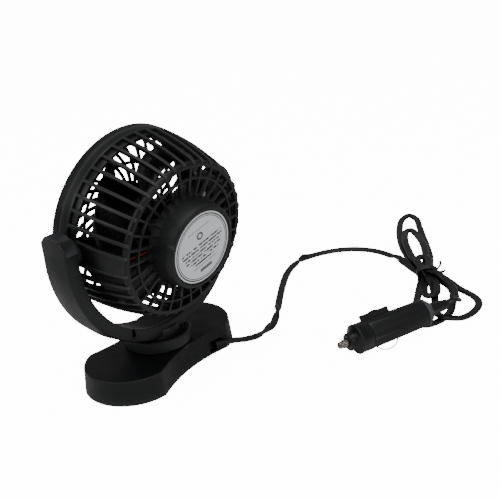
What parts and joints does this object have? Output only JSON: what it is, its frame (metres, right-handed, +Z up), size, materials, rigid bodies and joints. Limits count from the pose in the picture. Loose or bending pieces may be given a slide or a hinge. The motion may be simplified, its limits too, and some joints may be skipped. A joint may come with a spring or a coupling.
{
  "type": "electric fan",
  "caption": "Small black 12 V fan with a caged head that tilts in a C-shaped yoke on a swivelling hourglass base, with a flat cord tied in a hank and a car socket plug",
  "frame": {"origin": "on the surface that the fan stands on, under the turntable's axis in the middle of the base", "axes": "+X along the base's long side, -Y the way the fan blows with the yoke straight, +Z up"},
  "size_m": [0.3974, 0.2101, 0.1757],
  "materials": {
    "body_plastic": "moulded satin black plastic, finely textured",
    "grille_plastic": "moulded black plastic ribs",
    "hard_plastic": "smooth black plastic",
    "grey_plastic": "grey moulded plastic",
    "cord_pvc": "soft black PVC",
    "red_pvc": "red wire insulation",
    "pad_foam": "anti-slip foam",
    "steel": "zinc-plated steel",
    "nickel": "nickel-plated contact",
    "bronze": "sintered bronze",
    "label_paper": "printed label",
    "fuse_glass": "clear glass tube"
  },
  "bodies": {
    "base": {"base_shell": "body_plastic", "base_plate": "body_plastic", "stand_pad": "pad_foam", "base_screw_1": "steel", "base_screw_2": "steel", "base_screw_3": "steel", "base_screw_4": "steel", "switch_housing": "hard_plastic", "cord_gland": "cord_pvc", "cord_lead": "cord_pvc", "cord_hank": "cord_pvc", "cord_loop_large": "cord_pvc", "cord_loop_middle": "cord_pvc", "cord_loop_small": "cord_pvc", "cord_tail": "cord_pvc", "cord_tie": "cord_pvc", "plug_body": "body_plastic", "plug_nose": "hard_plastic", "plug_collar": "grey_plastic", "plug_boot": "cord_pvc", "pin_spring": "steel", "plug_fuse": "fuse_glass"},
    "rocker": {"switch_rocker": "hard_plastic"},
    "yoke": {"turntable": "body_plastic", "yoke": "body_plastic", "yoke_screw_1": "steel", "yoke_screw_2": "steel", "pan_washer": "steel", "pan_screw": "steel"},
    "head": {"tilt_pin_left": "steel", "tilt_pin_right": "steel", "tilt_washer_left": "grey_plastic", "tilt_washer_right": "grey_plastic", "rear_cage": "grille_plastic", "front_grille": "grille_plastic", "grille_cap": "hard_plastic", "grille_screw_1": "steel", "grille_screw_2": "steel", "grille_screw_3": "steel", "grille_screw_4": "steel", "rear_label": "label_paper", "motor_can": "steel", "motor_end_cap": "hard_plastic", "motor_bush": "bronze", "motor_lead_red": "red_pvc", "motor_lead_black": "cord_pvc"},
    "fan": {"motor_shaft": "steel", "impeller": "body_plastic"},
    "pin": {"plug_pin": "nickel"},
    "contact_left": {"side_contact_left": "nickel"},
    "contact_right": {"side_contact_right": "nickel"}
  },
  "joints": [
    {"name": "pan", "type": "hinge", "parent": "base", "child": "yoke", "pos_m": [0, 0, 0.028], "axis": [0, 0, 1], "range_deg": [-162, 178]},
    {"name": "tilt", "type": "hinge", "parent": "yoke", "child": "head", "pos_m": [0.00028, 0.00198, 0.11], "axis": [0.9903, -0.1392, 0], "range_deg": [-81, 99]},
    {"name": "fan_spin", "type": "hinge", "parent": "head", "child": "fan", "pos_m": [0.00028, 0.00198, 0.11], "axis": [0.1375, 0.9781, -0.1564], "continuous": true},
    {"name": "switch", "type": "hinge", "parent": "base", "child": "rocker", "pos_m": [0, -0.0241, 0.0104], "axis": [0, 0, 1], "range_deg": [0, 16]},
    {"name": "pin_slide", "type": "slide", "parent": "base", "child": "pin", "axis": [-0.8825, 0.4692, 0.0314], "range_m": [0, 0.005], "stiffness_N_per_m": 600, "springref_m": -0.002, "deforming": ["pin_spring"]},
    {"name": "contact_left_slide", "type": "slide", "parent": "base", "child": "contact_left", "axis": [-0.2805, -0.5788, 0.7657], "range_m": [0, 0.003], "stiffness_N_per_m": 500, "springref_m": -0.001},
    {"name": "contact_right_slide", "type": "slide", "parent": "base", "child": "contact_right", "axis": [0.2805, 0.5788, -0.7657], "range_m": [0, 0.003], "stiffness_N_per_m": 500, "springref_m": -0.001}
  ]
}
